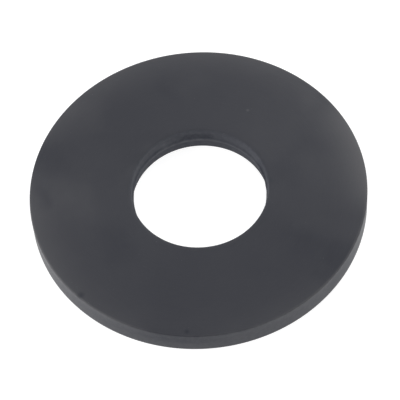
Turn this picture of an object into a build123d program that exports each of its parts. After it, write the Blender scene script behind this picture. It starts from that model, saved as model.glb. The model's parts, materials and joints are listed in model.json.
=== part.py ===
from build123d import *
from math import radians, tan
import os

# A flat rubber sealing washer, moulded in one piece between two mould halves
# that meet at mid-height. Millimetres, +Z up along the bore's axis, with the
# origin at the centre of the underside.

# Driving dimensions
outer_radius = 31.5
thickness = 5.0
bore_radius = 12.5  # at the ridge, the narrowest place in the bore

# The bore: a low ridge where the mould halves meet, and walls that open
# towards both faces, so that the washer leaves the mould
ridge_land = 0.8  # height of the ridge's straight inner wall
ridge_height = 0.15  # how far the ridge stands in from the wall beside it
ridge_flank = 0.3  # height that each sloping side of the ridge takes up
wall_draft_angle = 4.0
upper_mouth_edge_radius = 0.3
lower_mouth_edge_radius = 0.1

# The faces: flat for sealing, with a gentle fall towards the rim
fall_start_radius = 25.0
fall_depth = 0.1
rim_edge_radius = 0.25

# Worked out from the above, with heights measured from mid-height
half_thickness = thickness / 2
land_top = ridge_land / 2
flank_top = land_top + ridge_flank
wall_radius = bore_radius + ridge_height
mouth_radius = wall_radius + (half_thickness - flank_top) * tan(radians(wall_draft_angle))
rim_top = half_thickness - fall_depth
section_plane = Plane((0, 0, half_thickness), x_dir=(1, 0, 0), z_dir=(0, -1, 0))

with BuildPart() as sealing_ring:
    # The ring's section, whose lower half mirrors the upper one but for the mouths' edges
    with BuildSketch(section_plane) as section:
        with BuildLine():
            upper_wall = Polyline(
                (bore_radius, land_top),
                (wall_radius, flank_top),
                (mouth_radius, half_thickness),
            )
            flat_face = Line(upper_wall @ 1, (fall_start_radius, half_thickness))
            TangentArc(flat_face @ 1, (outer_radius, rim_top), tangent=flat_face % 1)
            mirror(about=Plane.XZ)
            Line((bore_radius, -land_top), (bore_radius, land_top))
            Line((outer_radius, -rim_top), (outer_radius, rim_top))
        make_face()
        rim_corners = section.vertices().group_by(Axis.X)[-1]
        fillet(rim_corners, radius=rim_edge_radius)
        # each mouth of the bore is the innermost corner of its face
        lower_mouth = section.vertices().group_by(Axis.Y)[0].sort_by(Axis.X)[0]
        fillet(lower_mouth, radius=lower_mouth_edge_radius)
        upper_mouth = section.vertices().group_by(Axis.Y)[-1].sort_by(Axis.X)[0]
        fillet(upper_mouth, radius=upper_mouth_edge_radius)
    revolve(axis=Axis.Z)

sealing_ring.part.label = "sealing_ring"

os.makedirs("parts", exist_ok=True)
export_step(sealing_ring.part, "parts/sealing_ring.step")
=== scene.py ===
import json
from math import cos, pi, radians, sin, tan

import bpy
import numpy as np
from mathutils import Matrix, Vector


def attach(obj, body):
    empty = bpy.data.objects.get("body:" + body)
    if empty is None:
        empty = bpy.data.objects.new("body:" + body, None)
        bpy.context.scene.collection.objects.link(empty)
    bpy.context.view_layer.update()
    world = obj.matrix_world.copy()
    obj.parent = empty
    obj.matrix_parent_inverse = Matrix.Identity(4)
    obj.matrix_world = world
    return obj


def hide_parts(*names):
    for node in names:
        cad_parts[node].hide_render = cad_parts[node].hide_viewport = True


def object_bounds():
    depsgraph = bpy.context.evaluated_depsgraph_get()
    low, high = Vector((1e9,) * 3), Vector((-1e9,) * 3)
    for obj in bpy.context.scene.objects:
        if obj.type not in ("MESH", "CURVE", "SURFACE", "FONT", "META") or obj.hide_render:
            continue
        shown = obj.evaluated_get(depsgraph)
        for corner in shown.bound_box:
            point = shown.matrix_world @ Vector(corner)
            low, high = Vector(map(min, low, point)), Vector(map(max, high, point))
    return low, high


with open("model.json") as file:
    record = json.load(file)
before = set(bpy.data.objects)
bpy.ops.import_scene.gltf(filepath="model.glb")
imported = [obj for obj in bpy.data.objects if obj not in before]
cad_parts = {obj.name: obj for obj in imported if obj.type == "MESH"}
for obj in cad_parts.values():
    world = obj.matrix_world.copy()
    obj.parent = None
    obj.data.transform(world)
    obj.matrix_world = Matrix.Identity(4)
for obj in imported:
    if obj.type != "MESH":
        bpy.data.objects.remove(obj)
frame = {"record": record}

# Looks for a flat moulded rubber sealing washer. Metres, +Z up, in the packed
# model's own frame: the origin is at the centre of the washer's underside.
# Azimuths are in degrees, with 0 on the right, 90 behind and 270 in front.

MM = 0.001
CAD_BOX = [list(corner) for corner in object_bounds()]
MOUNTS = {mount["name"]: mount for mount in frame["record"]["mounts"]}

OUTER_RADIUS = CAD_BOX[1][0]
THICKNESS = CAD_BOX[1][2]
RIDGE_RADIUS = MOUNTS["bore"]["dims"]["r_mm"] * MM
RIDGE_LAND = MOUNTS["bore"]["dims"]["length_mm"] * MM


# ---------------------------------------------------------------- camera

CAMERA_DISTANCE = 0.400
CAMERA_ELEVATION = radians(57.48)
CAMERA_ROLL = radians(-5.06)
CAMERA_LENS_MM = 191.6
SENSOR_WIDTH_MM = 36.0
CAMERA_AIM = Vector((0.18, 0.0, 0.74)) * MM


def add_camera():
    """A long lens that looks down at the washer from the front, rolled a little."""
    data = bpy.data.cameras.new("camera")
    data.lens = CAMERA_LENS_MM
    data.sensor_width = SENSOR_WIDTH_MM
    data.clip_start = 0.01
    camera = bpy.data.objects.new("camera", data)
    bpy.context.scene.collection.objects.link(camera)
    away = Vector((0.0, -cos(CAMERA_ELEVATION), sin(CAMERA_ELEVATION)))
    place = Matrix.Translation(CAMERA_AIM + away * CAMERA_DISTANCE)
    tilt = Matrix.Rotation(pi / 2 - CAMERA_ELEVATION, 4, "X")
    roll = Matrix.Rotation(CAMERA_ROLL, 4, "Z")
    camera.matrix_world = place @ tilt @ roll
    bpy.context.scene.camera = camera


# ---------------------------------------------------------------- the ring's shape

# The bore has a ridge at mid-height and opens from there towards both faces
WALL_STEP = 0.18 * MM  # the bore's wall stands back from the ridge by this much
FLANK_HEIGHT = 0.3 * MM  # of each sloping side of the ridge
UPPER_DRAFT = radians(4.0)
LOWER_DRAFT = radians(7.0)
MOUTH_EDGE = 0.3 * MM  # radius of the bore's upper edge
FOOT_EDGE = 0.1 * MM  # radius of its lower edge, which is nearly sharp

# The faces are flat and then fall a little towards the rim
FALL_START = 25.0 * MM
FALL_DEPTH = 0.1 * MM
RIM_EDGE = 0.25 * MM  # radius of the rim's two edges

# Points round the ring, and along each stretch of half its section
AROUND = 880
RIDGE_POINTS = 8
BORE_WALL_POINTS = 5
MOUTH_EDGE_POINTS = 5
RIM_EDGE_POINTS = 6
OUTER_WALL_POINTS = 4

# The small unevenness of a moulded part
TRIM_DEPTH = 0.05 * MM  # how unevenly the ridge's flash was trimmed
FLASH_LEFT = 0.1 * MM  # how far it still stands in at the left and right
FACE_WAVE = 0.02 * MM  # how far the faces dip at most

# How far the bore is off centre, which differs a little between the two mould halves
UPPER_OFFSET = Vector((0.26, -0.03)) * MM
LOWER_OFFSET = Vector((0.26, -0.18)) * MM

# Small dents in the upper rim: azimuth, radius and width in mm, depth in mm
NICKS = ((222.5, 31.0, 1.1, 0.08), (262.0, 30.5, 0.8, 0.05))


def on_ring(azimuth, distance, height):
    """The point at this azimuth, and this distance from the axis and height in mm."""
    turn = radians(azimuth)
    return Vector((distance * cos(turn), distance * sin(turn), height)) * MM


def spaced(start, end, count):
    """count values from start up to, but not including, end."""
    return [start + (end - start) * i / count for i in range(count)]


def smooth_share(value, start, end):
    """0 at start, 1 at end, with a smooth rise between."""
    share = np.clip((value - start) / (end - start), 0.0, 1.0)
    return share * share * (3 - 2 * share)


def fall(radius):
    """How far a face at this radius lies below its flat part."""
    share = (radius - FALL_START) / (OUTER_RADIUS - FALL_START)
    return FALL_DEPTH * max(share, 0.0) ** 2


def half_section(draft, mouth_edge, face_points, fall_points):
    """Half of the section, from the ridge out to the rim, as (radius, height above mid-height)."""
    half = THICKNESS / 2
    land_top = RIDGE_LAND / 2
    wall_foot = RIDGE_RADIUS + WALL_STEP
    wall_start = land_top + FLANK_HEIGHT
    wall_end = half - mouth_edge
    mouth = wall_foot + (half - wall_start) * tan(draft)
    rim_start = OUTER_RADIUS - RIM_EDGE
    rim_top = half - fall(rim_start)

    # the ridge's rounded side, the wall and the mouth's rounded edge
    points = []
    for share in spaced(0.0, 1.0, RIDGE_POINTS):
        points.append((RIDGE_RADIUS + WALL_STEP * smooth_share(share, 0.0, 1.0), wall_start * share))
    for z in spaced(wall_start, wall_end, BORE_WALL_POINTS):
        points.append((wall_foot + (z - wall_start) * tan(draft), z))
    for angle in spaced(0.0, pi / 2, MOUTH_EDGE_POINTS):
        points.append((mouth + mouth_edge * (1 - cos(angle)), wall_end + mouth_edge * sin(angle)))

    # the flat face, the fall, the rim's rounded edge and the outer wall
    points += [(r, half) for r in spaced(mouth + mouth_edge, FALL_START, face_points)]
    points += [(r, half - fall(r)) for r in spaced(FALL_START, rim_start, fall_points)]
    for angle in spaced(0.0, pi / 2, RIM_EDGE_POINTS):
        points.append((rim_start + RIM_EDGE * sin(angle), rim_top - RIM_EDGE * (1 - cos(angle))))
    points += [(OUTER_RADIUS, z) for z in spaced(rim_top - RIM_EDGE, 0.0, OUTER_WALL_POINTS)]
    return points


def ring_section():
    """The whole section as (radius, height) points that run once round it."""
    upper = half_section(UPPER_DRAFT, MOUTH_EDGE, face_points=18, fall_points=14)
    under = half_section(LOWER_DRAFT, FOOT_EDGE, face_points=12, fall_points=8)
    lower = [(r, -z) for r, z in reversed(under[1:])]
    return np.array(upper + [(OUTER_RADIUS, 0.0)] + lower) + np.array((0.0, THICKNESS / 2))


def wander(angles, seed, slowest, fastest):
    """A smooth random wave round the ring, from 0 to 1."""
    random = np.random.default_rng(seed)
    wave = np.zeros_like(angles)
    for turns in range(slowest, fastest + 1):
        wave += random.normal() * np.cos(turns * angles + random.uniform(0, 2 * pi))
    return (wave - wave.min()) / (wave.max() - wave.min())


def ring_points():
    """The ring's vertices, one section after another round it, with their small unevenness."""
    section = ring_section()
    angles = np.linspace(0.0, 2 * pi, AROUND, endpoint=False)[:, None]
    radius = np.tile(section[:, 0], (AROUND, 1))
    height = np.tile(section[:, 1], (AROUND, 1))
    middle = THICKNESS / 2
    outside = radius > RIDGE_RADIUS + WALL_STEP
    above = np.where(height > middle, 1.0, -1.0)

    # the flash on the ridge is trimmed unevenly, with more left at the sides
    ridge = 1 - smooth_share(radius, RIDGE_RADIUS, RIDGE_RADIUS + WALL_STEP)
    trim = wander(angles, seed=3, slowest=5, fastest=60)
    radius = radius + (TRIM_DEPTH * trim - FLASH_LEFT * np.cos(angles) ** 4) * ridge

    # both faces dip a little here and there
    on_face = smooth_share(np.abs(height - middle), middle - RIM_EDGE, middle - FALL_DEPTH)
    dip = wander(angles, seed=8, slowest=2, fastest=6)
    reach = smooth_share(radius, RIDGE_RADIUS, OUTER_RADIUS)
    height = height - above * FACE_WAVE * dip * reach * on_face * outside

    x = radius * np.cos(angles)
    y = radius * np.sin(angles)
    for azimuth, distance, width, depth in NICKS:
        centre = on_ring(azimuth, distance, 0.0)
        away = np.hypot(x - centre.x, y - centre.y) / (width * MM / 2)
        height = height - depth * MM * np.exp(-(away**2)) * on_face * (above > 0)

    # the bore is off centre by an amount that changes with height, and that fades out across the faces
    inner = 1 - smooth_share(radius, RIDGE_RADIUS + WALL_STEP, FALL_START)
    upper = smooth_share(height, 0.1 * THICKNESS, 0.4 * THICKNESS)
    x = x + inner * (LOWER_OFFSET.x + (UPPER_OFFSET.x - LOWER_OFFSET.x) * upper)
    y = y + inner * (LOWER_OFFSET.y + (UPPER_OFFSET.y - LOWER_OFFSET.y) * upper)
    return np.stack([x, y, height], axis=-1)


def add_ring():
    """One closed mesh that stands for the CAD ring."""
    points = ring_points()
    around, count = points.shape[:2]
    faces = []
    for i in range(around):
        here = i * count
        there = (i + 1) % around * count
        for j in range(count):
            k = (j + 1) % count
            faces.append((here + j, there + j, there + k, here + k))
    mesh = bpy.data.meshes.new("sealing_ring_rubber")
    mesh.from_pydata(points.reshape(-1, 3).tolist(), [], faces)
    mesh.polygons.foreach_set("use_smooth", [True] * len(mesh.polygons))
    mesh.materials.append(rubber())
    ring = bpy.data.objects.new("sealing_ring_rubber", mesh)
    bpy.context.scene.collection.objects.link(ring)
    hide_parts("sealing_ring")
    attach(ring, "root")


# ---------------------------------------------------------------- materials

MOST_NOISE = (0.3, 0.7)  # noise lies from 0 to 1, and mostly between these


class Tree:
    """Adds nodes to a material's tree. Inputs are numbers, vectors or other nodes' outputs."""

    def __init__(self, material):
        material.use_nodes = True
        self.nodes = material.node_tree.nodes
        self.links = material.node_tree.links
        self.shader = self.nodes["Principled BSDF"]

    def feed(self, socket, value):
        """Links a node's input to an output, or sets it."""
        if isinstance(value, bpy.types.NodeSocket):
            self.links.new(value, socket)
        else:
            socket.default_value = value

    def add(self, kind, inputs=(), output=0, **settings):
        """Adds a node of this kind and gives one of its outputs."""
        node = self.nodes.new("ShaderNode" + kind)
        for name, value in settings.items():
            setattr(node, name, value)
        for name, value in dict(inputs).items():
            self.feed(node.inputs[name], value)
        return node.outputs[output]

    def math(self, operation, *values):
        """A number worked out from numbers."""
        return self.add("Math", enumerate(values), operation=operation)

    def total(self, *values):
        """The sum of all the values."""
        result = values[0]
        for value in values[1:]:
            result = self.math("ADD", result, value)
        return result

    def vector(self, x, y, z):
        """A vector made of three numbers."""
        return self.add("CombineXYZ", {"X": x, "Y": y, "Z": z})

    def vectors(self, operation, *vectors):
        """A vector worked out from vectors, or a number where that is what the operation gives."""
        output = "Value" if operation in ("LENGTH", "DOT_PRODUCT") else "Vector"
        return self.add("VectorMath", enumerate(vectors), output, operation=operation)

    def ramp(self, value, start, end, low=0.0, high=1.0):
        """low at start, high at end, with a smooth rise between, and level beyond them."""
        inputs = {"Value": value, "From Min": start, "From Max": end, "To Min": low, "To Max": high}
        return self.add("MapRange", inputs, interpolation_type="SMOOTHSTEP")

    def spread(self, noise, low, high):
        """Noise turned into a smooth value from low to high."""
        return self.ramp(noise, *MOST_NOISE, low, high)

    def noise(self, place, scale, detail=2.0, roughness=0.5):
        """Noise from 0 to 1, with about `scale` blots in a unit of place."""
        inputs = {"Vector": place, "Scale": scale, "Detail": detail, "Roughness": roughness}
        return self.add("TexNoise", inputs, output="Fac")

    def blob(self, place, centre, turn, reach):
        """1 at the centre and 0 at an ellipsoid with these half lengths, turned about Z."""
        inputs = {"Vector": place, "Location": centre, "Rotation": (0.0, 0.0, turn), "Scale": reach}
        local = self.add("Mapping", inputs, vector_type="TEXTURE")
        nearness = self.add("TexGradient", {"Vector": local}, output="Fac", gradient_type="SPHERICAL")
        return self.ramp(nearness, 0.0, 1.0)

    def arc(self, direction, azimuth, half_width, amount):
        """amount where direction points at this azimuth, down to 0 at half_width degrees from it."""
        towards = (cos(radians(azimuth)), sin(radians(azimuth)), 0.0)
        facing = self.vectors("DOT_PRODUCT", direction, towards)
        return self.ramp(facing, cos(radians(half_width)), 1.0, 0.0, amount)

    def arcs(self, direction, arcs, share):
        """The sum of these arcs, scaled by share."""
        everywhere = self.total(*[self.arc(direction, *arc) for arc in arcs])
        return self.math("MULTIPLY", everywhere, share)

    def mix(self, share, first, second):
        """first where share is 0 and second where it is 1, as colours."""
        inputs = {"Factor": share, 6: first, 7: second}
        return self.add("Mix", inputs, output=2, data_type="RGBA")

    def bump(self, height, distance, normal=None):
        """The normal, or this one, tilted as if the surface rose by height times distance."""
        inputs = {"Height": height, "Distance": distance, "Strength": 1.0}
        if normal is not None:
            inputs["Normal"] = normal
        return self.add("Bump", inputs)


CLEAN_COLOUR = (0.0089, 0.0113, 0.0206, 1.0)
HAZE_COLOUR = (0.133, 0.131, 0.1345, 1.0)
BORE_HAZE_COLOUR = (0.128, 0.131, 0.144, 1.0)
# painted shade in the pits
PIT_SHADE_COLOUR = (0.010, 0.010, 0.013, 1.0)
DUST_COLOUR = (0.20, 0.20, 0.21, 1.0)

# Noise, in blots per metre
PATCHES = 90.0
CLOUD_EDGES = 160.0
# breaks up the painted highlight along the bore's ridge
RIDGE_HIGHLIGHT_NOISE = 700.0
MOTTLING = 1400.0
PITTING = 3400.0
DUSTING = 4200.0
FINE_GRAIN = 9000.0
TURNED_ACROSS = 5000.0
TURNED_ALONG = 9.0  # the turned grain has only this many blots per radian round the ring

# Haze is a thin pale bloom on the rubber: 0 is clean and 1 is thick; painted light and shade use the same
# scale.
EVEN_HAZE = 0.185
PATCHY_HAZE = 0.012
TURNED_HAZE = 0.008
LEAST_HAZE = 0.02

# Painted sheen: a pale painted highlight that thickens towards the upper rim, all the way round and in arcs
# where the softboxes reflect in it: azimuth, half width in degrees, amount
RIM_SHEEN_START = 22.0 * MM
RIM_SHEEN_POWER = 2.5
EVEN_RIM_PAINTED_SHEEN = 0.03
RIM_PAINTED_SHEEN = (
    (9, 28, 0.38),
    (76, 44, 0.16),
    (132, 30, 0.16),
    (196, 34, 0.19),
    (234, 20, 0.06),
    (262, 50, 0.04),
    (312, 34, 0.06),
)

# A painted highlight along the outer wall's rounded upper edge, where it faces the softboxes, as arcs in the
# same way
EDGE_PAINTED_HIGHLIGHT = ((212, 40, 0.22), (270, 80, 0.08), (328, 40, 0.22))

# Cloudy patches of haze, painted light and painted shade: azimuth, radius and height of the middle, half
# length along the ring, half width across it and half height in mm, and how much haze they add or take away
CLOUD_STRAY = 8.0 * MM  # noise pushes their edges about, by up to half of this each way
HAZE_AND_PAINTED_LIGHT_PATCHES = (
    # on the upper face, lighter and darker patches
    (182, 24.0, 5.0, 7.0, 8.5, 2.5, 0.075),
    (178, 29.5, 5.0, 5.0, 3.0, 2.5, -0.08),
    (138, 26.5, 5.0, 5.5, 6.0, 2.5, 0.05),
    (160, 28.5, 5.0, 6.0, 7.0, 2.5, -0.055),
    (324, 24.0, 5.0, 7.0, 12.0, 2.5, -0.045),
    (20, 22.5, 5.0, 6.0, 6.5, 2.5, -0.04),
    (6, 17.5, 5.0, 8.0, 5.5, 2.5, -0.06),
    (212, 19.5, 5.0, 7.0, 5.5, 2.5, -0.04),
    (38, 29.8, 5.0, 4.5, 3.5, 2.5, 0.06),
    (88, 23.0, 5.0, 6.0, 5.0, 2.5, 0.04),
    (100, 23.0, 5.0, 3.0, 6.0, 2.5, -0.03),
    (332, 23.5, 5.0, 4.0, 6.0, 2.5, 0.035),
    # on the outer wall, painted shade at the front and front right, and painted light low on the left
    (258, 31.5, 3.6, 16.0, 6.0, 2.2, -0.11),
    (324, 31.5, 2.5, 10.0, 6.0, 5.0, -0.16),
    (200, 31.5, 0.8, 8.0, 6.0, 3.0, 0.07),
    # on the bore's wall, painted shade at the back and at both ends, and painted light beside them
    (77, 12.8, 3.5, 2.8, 3.0, 1.1, -0.14),
    (90, 12.8, 3.6, 3.0, 3.0, 1.1, -0.22),
    (114, 12.8, 3.5, 2.4, 3.0, 1.5, 0.14),
    (128, 12.9, 4.6, 7.5, 4.0, 0.7, 0.10),
    (160, 12.9, 4.3, 5.0, 3.0, 1.3, 0.10),
    (165, 12.8, 1.8, 4.0, 3.0, 2.4, -0.12),
    (9, 12.8, 3.4, 6.0, 3.0, 3.0, -0.27),
)

# Specks on the upper face: azimuth, radius and reach in mm, and haze added or taken away
SPECKS = (
    (222.5, 30.9, 1.1, -0.16),
    (262, 30.5, 0.7, -0.13),
    (57, 19.7, 0.45, 0.26),
)

# Haze, painted light and painted shade on the walls: a pair of radii or heights says where it starts and
# where it is full
MOTTLE_HAZE = 0.04
BORE_RADII = (RIDGE_RADIUS + 0.6 * MM, RIDGE_RADIUS + 0.45 * MM)
# the bore's haze, a little less towards its lower mouth as painted shade
BORE_HAZE_AND_FOOT_SHADE = (0.17, 0.16)  # near the bore's upper mouth, near its lower one
# a painted highlight along the bore's ridge
RIDGE_RADII = (RIDGE_RADIUS + 0.12 * MM, RIDGE_RADIUS + 0.02 * MM)
RIDGE_PAINTED_HIGHLIGHT = (0.05, 0.18)  # where the painted highlight on the ridge is faintest, strongest
# a band of painted shade on the bore's wall just above the ridge, where the ridge keeps the floor's light
# off it
SHADE_LINE_HEIGHT = THICKNESS / 2 + 0.5 * MM
SHADE_LINE_REACH = (0.6 * MM, 0.1 * MM)  # above and below that height
SHADE_LINE_DARKENING = -0.06
OUTER_WALL_RADII = (OUTER_RADIUS - 0.3 * MM, OUTER_RADIUS - 0.05 * MM)
# painted shading of the outer wall: darker towards its upper edge, a little paler near its foot
OUTER_WALL_PAINTED_SHADING = (-0.065, 0.015)  # at the wall's upper edge, near its foot
# where the painted highlight lies on the outer wall's upper edge
EDGE_HIGHLIGHT_RADII = (OUTER_RADIUS - 0.5 * MM, OUTER_RADIUS - 0.1 * MM)
EDGE_HIGHLIGHT_HEIGHTS = (THICKNESS - 0.6 * MM, THICKNESS - 0.2 * MM)
# painted contact shadow at the foot of the outer wall and of the bore
FOOT_RADII = (OUTER_RADIUS - 0.4 * MM, OUTER_RADIUS - 0.1 * MM)
FOOT_HEIGHTS = (0.7 * MM, 0.2 * MM)
FOOT_PAINTED_SHADOW = -0.09

# The finish
GRAIN_NOISE = (0.2, 0.8)
ROUGHNESS = (0.34, 0.44)  # where the grain is lowest, highest
BORE_ROUGHNESS = 0.45  # how much rougher the bore is
SPECULAR_LEVEL = 0.25
ANISOTROPY = 0.6
ANISOTROPY_TURN = 0.25  # of a full turn
TURNED_RELIEF = 0.004 * MM
GRAIN_RELIEF = 0.006 * MM
PIT_RELIEF = -0.01 * MM
PIT_NOISE = (0.20, 0.13)  # at the edge of a pit, well inside it
PIT_SHADE_SHARE = 0.35  # how far the pits are darkened, as painted shade in them
DUST_NOISE = (0.74, 0.82)  # at the edge of a grain of dust, well inside it
DUST_SHARE = 0.3  # how pale the dust is


class Spot:
    """Where a point lies on the washer, as nodes."""

    def __init__(self, tree):
        self.place = tree.add("TexCoord", output="Object")
        split = tree.add("SeparateXYZ", {"Vector": self.place}).node
        x, y, self.z = (split.outputs[axis] for axis in "XYZ")
        flat_place = tree.vector(x, y, 0.0)
        self.radius = tree.vectors("LENGTH", flat_place)
        self.direction = tree.vectors("NORMALIZE", flat_place)
        bore_place = tree.vectors("SUBTRACT", flat_place, (*UPPER_OFFSET, 0.0))
        self.bore_radius = tree.vectors("LENGTH", bore_place)
        self.in_bore = tree.ramp(self.bore_radius, *BORE_RADII)


def rim_painted_sheen(tree, spot):
    """Painted sheen that thickens towards the upper rim, all the way round and in arcs."""
    upper = tree.ramp(spot.z, THICKNESS / 2, THICKNESS - RIM_EDGE)
    share = tree.math("SUBTRACT", spot.radius, RIM_SHEEN_START)
    share = tree.math("DIVIDE", share, OUTER_RADIUS - RIM_SHEEN_START)
    near_rim = tree.math("POWER", tree.math("MAXIMUM", share, 0.0), RIM_SHEEN_POWER)
    near_rim = tree.math("MULTIPLY", near_rim, upper)
    even = tree.math("MULTIPLY", near_rim, EVEN_RIM_PAINTED_SHEEN)
    return tree.total(even, tree.arcs(spot.direction, RIM_PAINTED_SHEEN, near_rim))


def patches_of_haze_and_painted_light(tree, spot):
    """Haze, painted light and painted shade added or taken away in cloudy patches, whose edges noise makes
    uneven.
    """
    stray = tree.add("TexNoise", {"Vector": spot.place, "Scale": CLOUD_EDGES, "Detail": 2.0}, output="Color")
    stray = tree.vectors("SUBTRACT", stray, (0.5, 0.5, 0.5))
    stray = tree.vectors("MULTIPLY", stray, (CLOUD_STRAY, CLOUD_STRAY, 0.0))
    loose_place = tree.vectors("ADD", spot.place, stray)
    clouds = []
    for azimuth, distance, height, half_length, half_width, half_height, amount in HAZE_AND_PAINTED_LIGHT_PATCHES:
        centre = on_ring(azimuth, distance, height)
        reach = Vector((half_width, half_length, half_height)) * MM
        cloud = tree.blob(loose_place, centre, radians(azimuth), reach)
        clouds.append(tree.math("MULTIPLY", cloud, amount))
    return tree.total(*clouds)


def speck_haze(tree, spot):
    """Haze added or taken away in round specks on the upper face."""
    specks = []
    for azimuth, distance, reach, amount in SPECKS:
        centre = on_ring(azimuth, distance, THICKNESS / MM)
        speck = tree.blob(spot.place, centre, radians(azimuth), Vector((reach, reach, reach)) * MM)
        specks.append(tree.math("MULTIPLY", speck, amount))
    return tree.total(*specks)


def bore_haze_and_painted_light(tree, spot, mottle):
    """More haze in the mottled bore, a little less towards its foot as painted shade, with a painted
    highlight along its ridge and a band of painted shade just above the ridge.
    """
    # less towards the foot, as painted shade
    deep = tree.ramp(spot.z, 0.8 * THICKNESS, 0.2 * THICKNESS, *BORE_HAZE_AND_FOOT_SHADE)
    on_ridge = tree.ramp(spot.bore_radius, *RIDGE_RADII)
    # a painted highlight along the ridge, uneven round it
    highlight_breakup = tree.spread(tree.noise(spot.place, RIDGE_HIGHLIGHT_NOISE), *RIDGE_PAINTED_HIGHLIGHT)
    ridge_highlight = tree.math("MULTIPLY", on_ridge, highlight_breakup)
    # a band of painted shade just above the ridge
    from_shade_line = tree.math("ABSOLUTE", tree.math("SUBTRACT", spot.z, SHADE_LINE_HEIGHT))
    shade_line = tree.ramp(from_shade_line, *SHADE_LINE_REACH, 0.0, SHADE_LINE_DARKENING)
    return tree.math("MULTIPLY", spot.in_bore, tree.total(deep, ridge_highlight, shade_line, mottle))


def outer_wall_mottle_and_painted_light(tree, spot, mottle):
    """Mottled haze on the outer wall, with painted shading that darkens it towards its top and lightens it a
    little towards the foot, and a painted highlight along its upper edge.
    """
    on_wall = tree.ramp(spot.radius, *OUTER_WALL_RADII)
    # painted shading down the wall
    wall_shading = tree.ramp(spot.z, THICKNESS - RIM_EDGE, 0.2 * THICKNESS, *OUTER_WALL_PAINTED_SHADING)
    wall = tree.math("MULTIPLY", on_wall, tree.total(wall_shading, mottle))
    # a painted highlight along the wall's upper edge
    near_rim = tree.ramp(spot.radius, *EDGE_HIGHLIGHT_RADII)
    near_top = tree.ramp(spot.z, *EDGE_HIGHLIGHT_HEIGHTS)
    edge = tree.math("MULTIPLY", near_rim, near_top)
    return tree.total(wall, tree.arcs(spot.direction, EDGE_PAINTED_HIGHLIGHT, edge))


def foot_painted_shadow(tree, spot):
    """Painted contact shadow: darker at the foot of each wall."""
    at_wall = tree.math("MAXIMUM", spot.in_bore, tree.ramp(spot.radius, *FOOT_RADII))
    return tree.math("MULTIPLY", at_wall, tree.ramp(spot.z, *FOOT_HEIGHTS, 0.0, FOOT_PAINTED_SHADOW))


def rubber():
    """Matte slate-grey rubber with a faint turned grain, cloudy haze, dust and pits, and painted light and
    shade.
    """
    material = bpy.data.materials.new("slate_rubber")
    tree = Tree(material)
    shader = tree.shader
    spot = Spot(tree)

    # the turned mould leaves a grain that is long along the ring and short across it
    along = tree.vectors("MULTIPLY", spot.direction, (TURNED_ALONG, TURNED_ALONG, TURNED_ALONG))
    across = tree.math("MULTIPLY", tree.math("ADD", spot.radius, spot.z), TURNED_ACROSS)
    turned = tree.noise(tree.vectors("ADD", along, tree.vector(0.0, 0.0, across)), 1.0)
    grain = tree.noise(spot.place, FINE_GRAIN, detail=3.0, roughness=0.6)
    patches = tree.noise(spot.place, PATCHES, detail=4.0, roughness=0.55)
    pits = tree.ramp(tree.noise(spot.place, PITTING, detail=0.0), *PIT_NOISE)
    dust = tree.ramp(tree.noise(spot.place, DUSTING, detail=1.0), *DUST_NOISE)
    mottle = tree.spread(tree.noise(spot.place, MOTTLING), -MOTTLE_HAZE, MOTTLE_HAZE)

    haze_and_painted_light = tree.total(
        EVEN_HAZE,
        tree.spread(patches, -PATCHY_HAZE, PATCHY_HAZE),
        # painted sheen towards the upper rim
        rim_painted_sheen(tree, spot),
        # patches of haze, painted light and painted shade
        patches_of_haze_and_painted_light(tree, spot),
        speck_haze(tree, spot),
        # the bore's haze, with a painted highlight on its ridge and painted shade
        bore_haze_and_painted_light(tree, spot, mottle),
        # the outer wall's mottle, its painted shading and the painted highlight on its edge
        outer_wall_mottle_and_painted_light(tree, spot, mottle),
        # painted contact shadow at the walls' feet
        foot_painted_shadow(tree, spot),
        tree.spread(turned, -TURNED_HAZE, TURNED_HAZE),
    )
    haze_and_painted_light = tree.math("MAXIMUM", haze_and_painted_light, LEAST_HAZE)
    haze_colour = tree.mix(spot.in_bore, HAZE_COLOUR, BORE_HAZE_COLOUR)
    colour = tree.mix(haze_and_painted_light, CLEAN_COLOUR, haze_colour)
    colour = tree.mix(tree.math("MULTIPLY", dust, DUST_SHARE), colour, DUST_COLOUR)
    # pits darkened with painted shade
    colour = tree.mix(tree.math("MULTIPLY", pits, PIT_SHADE_SHARE), colour, PIT_SHADE_COLOUR)
    tree.feed(shader.inputs["Base Color"], colour)

    roughness = tree.ramp(grain, *GRAIN_NOISE, *ROUGHNESS)
    rougher = tree.math("MULTIPLY", spot.in_bore, BORE_ROUGHNESS)
    tree.feed(shader.inputs["Roughness"], tree.total(roughness, rougher))
    shader.inputs["Specular IOR Level"].default_value = SPECULAR_LEVEL
    shader.inputs["Anisotropic"].default_value = ANISOTROPY
    shader.inputs["Anisotropic Rotation"].default_value = ANISOTROPY_TURN
    tree.feed(shader.inputs["Tangent"], tree.add("Tangent", direction_type="RADIAL", axis="Z"))

    relief = tree.bump(turned, TURNED_RELIEF)
    relief = tree.bump(grain, GRAIN_RELIEF, normal=relief)
    relief = tree.bump(pits, PIT_RELIEF, normal=relief)
    tree.feed(shader.inputs["Normal"], relief)
    return material


FLOOR_COLOUR = (0.42, 0.42, 0.42, 1.0)
FLOOR_ROUGHNESS = 0.9
FLOOR_GLOW = 0.82
WHITE = (1.0, 1.0, 1.0, 1.0)


def pale_floor():
    """A pale floor that glows from within, as a light table does."""
    material = bpy.data.materials.new("pale_floor")
    shader = Tree(material).shader
    shader.inputs["Base Color"].default_value = FLOOR_COLOUR
    shader.inputs["Roughness"].default_value = FLOOR_ROUGHNESS
    shader.inputs["Emission Color"].default_value = WHITE
    shader.inputs["Emission Strength"].default_value = FLOOR_GLOW
    return material


# ---------------------------------------------------------------- studio

FLOOR_HALF_WIDTH = 3.0
SOFTBOX_SIZE = 0.35
SOFTBOX_DISTANCE = 0.70
SURROUND_LIGHT = 0.4
SURROUND_SEEN = 0.85

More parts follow.
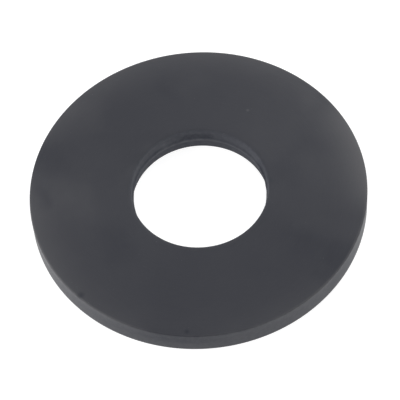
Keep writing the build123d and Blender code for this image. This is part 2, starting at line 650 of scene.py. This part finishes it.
# Softboxes: azimuth, elevation and power in watts
SOFTBOXES = {
    "softbox_back": (90, 12, 1.7),
    "softbox_back_left": (150, 12, 1.15),
    "softbox_left": (180, 12, 1.25),
    "softbox_front_left": (210, 12, 1.45),
    "softbox_front_right": (348, 12, 1.3),
    "softbox_high_right": (60, 40, 1.4),
    "softbox_high_back": (120, 40, 0.5),
    "softbox_high_left": (180, 40, 0.55),
    "softbox_high_front": (300, 40, 1.0),
}


def add_floor():
    """A wide square floor under the washer, which isn't part of the object."""
    side = FLOOR_HALF_WIDTH
    corners = [(-side, -side, 0), (side, -side, 0), (side, side, 0), (-side, side, 0)]
    mesh = bpy.data.meshes.new("floor")
    mesh.from_pydata(corners, [], [(0, 1, 2, 3)])
    mesh.materials.append(pale_floor())
    floor = bpy.data.objects.new("floor", mesh)
    bpy.context.scene.collection.objects.link(floor)


def add_softbox(name, azimuth, elevation, power):
    """A square soft light that faces the washer."""
    data = bpy.data.lights.new(name, "AREA")
    data.shape = "SQUARE"
    data.size = SOFTBOX_SIZE
    data.energy = power
    light = bpy.data.objects.new(name, data)
    bpy.context.scene.collection.objects.link(light)
    turn = radians(azimuth)
    rise = radians(elevation)
    direction = Vector((cos(turn) * cos(rise), sin(turn) * cos(rise), sin(rise)))
    light.location = direction * SOFTBOX_DISTANCE
    light.rotation_euler = direction.to_track_quat("Z", "Y").to_euler()


def add_world():
    """An even surround: a dim light, seen past the floor's edge as nearly white."""
    world = bpy.data.worlds.new("studio")
    bpy.context.scene.world = world
    world.use_nodes = True
    nodes = world.node_tree.nodes
    background = nodes["Background"]
    background.inputs["Color"].default_value = WHITE
    strength = nodes.new("ShaderNodeMapRange")
    strength.inputs["To Min"].default_value = SURROUND_LIGHT
    strength.inputs["To Max"].default_value = SURROUND_SEEN
    seen = nodes.new("ShaderNodeLightPath").outputs["Is Camera Ray"]
    world.node_tree.links.new(seen, strength.inputs["Value"])
    world.node_tree.links.new(strength.outputs["Result"], background.inputs["Strength"])


bpy.context.scene.view_settings.view_transform = "Standard"
add_camera()
add_world()
add_floor()
for softbox, (azimuth, elevation, power) in SOFTBOXES.items():
    add_softbox(softbox, azimuth, elevation, power)
add_ring()
